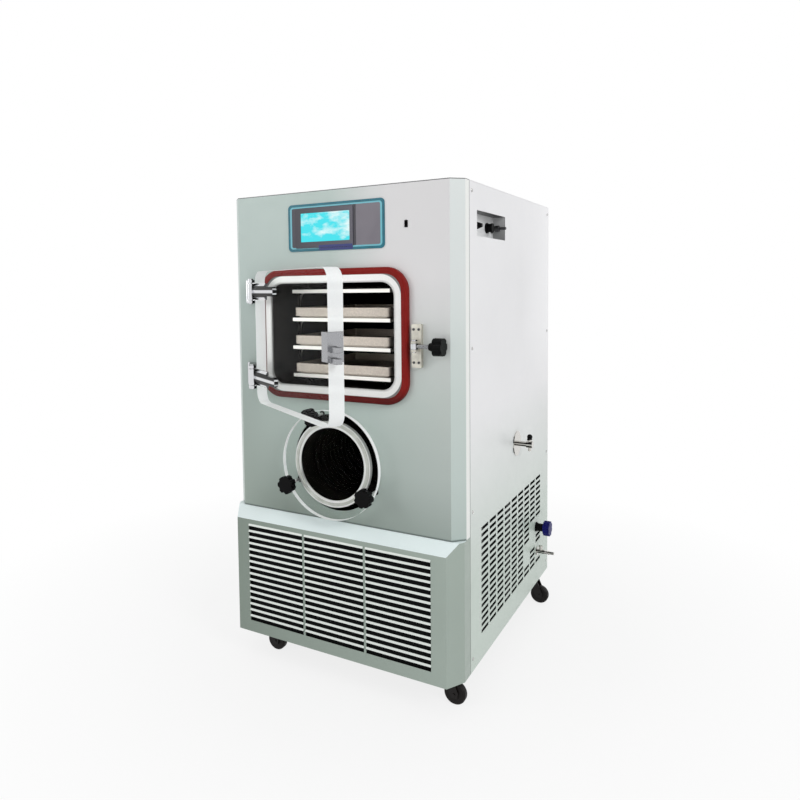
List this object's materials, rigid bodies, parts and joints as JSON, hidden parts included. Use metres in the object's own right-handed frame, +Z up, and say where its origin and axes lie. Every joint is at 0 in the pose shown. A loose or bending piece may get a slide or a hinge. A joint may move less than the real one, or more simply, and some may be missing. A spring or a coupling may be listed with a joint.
{
  "type": "freeze dryer",
  "caption": "Floor-standing laboratory freeze dryer with a shelf chamber behind a clear hinged door, a clamped condenser port, a touch screen, side valves and swivel casters.",
  "frame": {"origin": "centre of the cabinet's underside", "axes": "+Z up, -Y towards the front with the door, +X towards the side with the valves"},
  "size_m": [0.7905, 1.2136, 1.387],
  "materials": {
    "cabinet_front_paint": "satin",
    "cabinet_base_paint": "satin",
    "cabinet_side_paint": "satin",
    "frame_paint": "satin",
    "screw_steel": "polished",
    "overlay_film": "satin",
    "screen_plastic": "gloss",
    "black_plastic": "satin",
    "chamber_steel": "brushed",
    "shelf_alloy": "satin",
    "tray_steel": "brushed",
    "gasket_red": "matte",
    "hose_rubber": "satin",
    "clear_acrylic": "gloss",
    "hinge_chrome": "polished",
    "latch_alloy": "satin",
    "coil_copper": "satin",
    "gasket_pale": "matte",
    "pocket_paint": "satin",
    "valve_chrome": "polished",
    "nozzle_metal": "satin",
    "knob_blue": "satin",
    "compressor_paint": "satin",
    "exchanger_alloy": "satin",
    "fan_plastic": "matte",
    "vacuum_steel": "satin",
    "caster_zinc": "satin",
    "caster_paint": "satin",
    "wheel_rubber": "matte"
  },
  "bodies": {
    "cabinet": {"front_panel": "cabinet_front_paint", "plinth_grille": "cabinet_base_paint", "left_panel": "cabinet_side_paint", "right_panel": "cabinet_side_paint", "rear_panel": "cabinet_side_paint", "top_panel": "cabinet_side_paint", "base_frame": "frame_paint", "panel_screws": "screw_steel", "display_panel": "overlay_film", "touch_screen": "screen_plastic", "usb_port": "black_plastic", "vent_plug": "black_plastic", "signal_socket": "black_plastic", "drain_valve": "black_plastic", "power_inlet": "black_plastic", "chamber": "chamber_steel", "shelf_rack": "chamber_steel", "condenser_pot": "chamber_steel", "shelf_1": "shelf_alloy", "shelf_2": "shelf_alloy", "shelf_3": "shelf_alloy", "shelf_4": "shelf_alloy", "tray_1": "tray_steel", "tray_2": "tray_steel", "tray_3": "tray_steel", "door_gasket": "gasket_red", "shelf_hoses": "hose_rubber", "port_cover": "clear_acrylic", "hinge_brackets": "hinge_chrome", "pivot_pins": "hinge_chrome", "latch_block": "latch_alloy", "condenser_coil": "coil_copper", "port_gasket": "gasket_pale", "service_pocket": "pocket_paint", "gas_valve": "valve_chrome", "hose_tap": "valve_chrome", "pocket_nozzle": "nozzle_metal", "compressor": "compressor_paint", "heat_exchanger": "exchanger_alloy", "vacuum_port": "vacuum_steel", "caster_plates": "caster_zinc"},
    "door": {"door_plate": "clear_acrylic", "hinge_arms": "hinge_chrome", "latch_fork": "hinge_chrome"},
    "latch_bolt": {"latch_bolt": "hinge_chrome"},
    "latch_knob": {"latch_knob": "black_plastic"},
    "port_knob_1": {"port_knob_1": "black_plastic"},
    "port_knob_2": {"port_knob_2": "black_plastic"},
    "port_knob_3": {"port_knob_3": "black_plastic"},
    "gas_valve_handle": {"gas_valve_handle": "black_plastic"},
    "drain_valve_knob": {"drain_valve_knob": "knob_blue"},
    "fan": {"fan_blades": "fan_plastic"},
    "caster_fork_1": {"caster_fork_1": "caster_paint"},
    "caster_wheel_1": {"caster_wheel_1": "wheel_rubber"},
    "caster_fork_2": {"caster_fork_2": "caster_paint"},
    "caster_wheel_2": {"caster_wheel_2": "wheel_rubber"},
    "caster_fork_3": {"caster_fork_3": "caster_paint"},
    "caster_wheel_3": {"caster_wheel_3": "wheel_rubber"},
    "caster_fork_4": {"caster_fork_4": "caster_paint"},
    "caster_wheel_4": {"caster_wheel_4": "wheel_rubber"}
  },
  "joints": [
    {"name": "door_hinge", "type": "hinge", "parent": "cabinet", "child": "door", "pos_m": [-0.2413, -0.4993, 0.9], "axis": [0, 0, -1], "range_deg": [-32, 90]},
    {"name": "latch_swing", "type": "hinge", "parent": "cabinet", "child": "latch_bolt", "pos_m": [0.2473, -0.457, 0.877], "axis": [0, 0, -1], "range_deg": [0, 100]},
    {"name": "latch_knob_turn", "type": "hinge", "parent": "latch_bolt", "child": "latch_knob", "pos_m": [0.3073, -0.457, 0.877], "axis": [1, 0, 0], "continuous": true},
    {"name": "port_knob_1_turn", "type": "hinge", "parent": "cabinet", "child": "port_knob_1", "pos_m": [-0.04223, -0.4926, 0.67623], "axis": [0, 1, 0], "continuous": true},
    {"name": "port_knob_2_turn", "type": "hinge", "parent": "cabinet", "child": "port_knob_2", "pos_m": [-0.13074, -0.4926, 0.47744], "axis": [0, 1, 0], "continuous": true},
    {"name": "port_knob_3_turn", "type": "hinge", "parent": "cabinet", "child": "port_knob_3", "pos_m": [0.11645, -0.4926, 0.47313], "axis": [0, 1, 0], "continuous": true},
    {"name": "gas_valve_turn", "type": "hinge", "parent": "cabinet", "child": "gas_valve_handle", "pos_m": [0.406, 0.045, 0.549], "axis": [0, 0, 1], "range_deg": [0, 90]},
    {"name": "drain_valve_turn", "type": "hinge", "parent": "cabinet", "child": "drain_valve_knob", "pos_m": [0.401, 0.275, 0.2], "axis": [1, 0, 0], "range_deg": [0, 360]},
    {"name": "fan_spin", "type": "hinge", "parent": "cabinet", "child": "fan", "pos_m": [-0.15, -0.305, 0.19], "axis": [0, 1, 0], "continuous": true},
    {"name": "caster_swivel_1", "type": "hinge", "parent": "cabinet", "child": "caster_fork_1", "pos_m": [-0.292, -0.378, -0.0083], "axis": [0, 0, 1], "continuous": true},
    {"name": "caster_roll_1", "type": "hinge", "parent": "caster_fork_1", "child": "caster_wheel_1", "pos_m": [-0.259, -0.378, -0.057], "axis": [0, 1, 0], "continuous": true},
    {"name": "caster_swivel_2", "type": "hinge", "parent": "cabinet", "child": "caster_fork_2", "pos_m": [0.292, -0.378, -0.0083], "axis": [0, 0, 1], "continuous": true},
    {"name": "caster_roll_2", "type": "hinge", "parent": "caster_fork_2", "child": "caster_wheel_2", "pos_m": [0.325, -0.378, -0.057], "axis": [0, 1, 0], "continuous": true},
    {"name": "caster_swivel_3", "type": "hinge", "parent": "cabinet", "child": "caster_fork_3", "pos_m": [-0.332, 0.328, -0.0083], "axis": [0, 0, 1], "continuous": true},
    {"name": "caster_roll_3", "type": "hinge", "parent": "caster_fork_3", "child": "caster_wheel_3", "pos_m": [-0.299, 0.328, -0.057], "axis": [0, 1, 0], "continuous": true},
    {"name": "caster_swivel_4", "type": "hinge", "parent": "cabinet", "child": "caster_fork_4", "pos_m": [0.332, 0.328, -0.0083], "axis": [0, 0, 1], "continuous": true},
    {"name": "caster_roll_4", "type": "hinge", "parent": "caster_fork_4", "child": "caster_wheel_4", "pos_m": [0.365, 0.328, -0.057], "axis": [0, 1, 0], "continuous": true}
  ]
}
